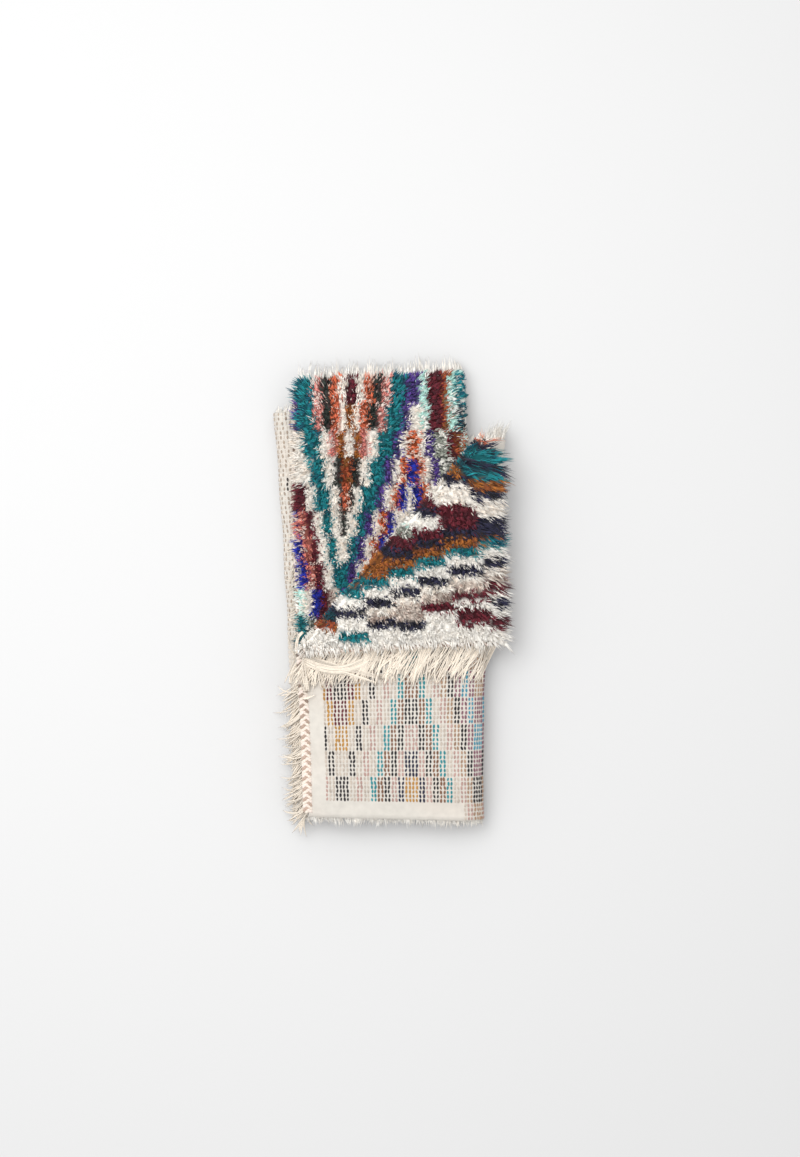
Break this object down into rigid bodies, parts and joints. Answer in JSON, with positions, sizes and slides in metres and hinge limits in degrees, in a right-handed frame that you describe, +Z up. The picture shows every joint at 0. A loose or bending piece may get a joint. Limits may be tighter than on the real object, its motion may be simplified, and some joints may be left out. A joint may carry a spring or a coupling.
{
  "type": "folded boucherouite rug",
  "caption": "Shaggy hand-knotted rag rug folded into a four-layer parcel, with one corner turned back to show its pile and its cream warp fringe.",
  "frame": {"origin": "middle of the parcel's box, at the level that it rests on", "axes": "+Y along the parcel's length, which is the rug's weft, towards the end where the pile shows; +Z up; +X along the warp, towards the outer roll"},
  "size_m": [0.6083, 1.2039, 0.1439],
  "materials": {
    "pile": "matte shag of cut rag and wool yarn in many colours",
    "backing": "matte hand-knotted back, cream with rows of coloured knots",
    "fringe": "matte undyed warp yarn"
  },
  "bodies": {
    "root": {"rug": "pile", "fringe_on_corner": "fringe", "fringe_at_side": "fringe", "fringe_inside": "fringe"}
  },
  "joints": []
}
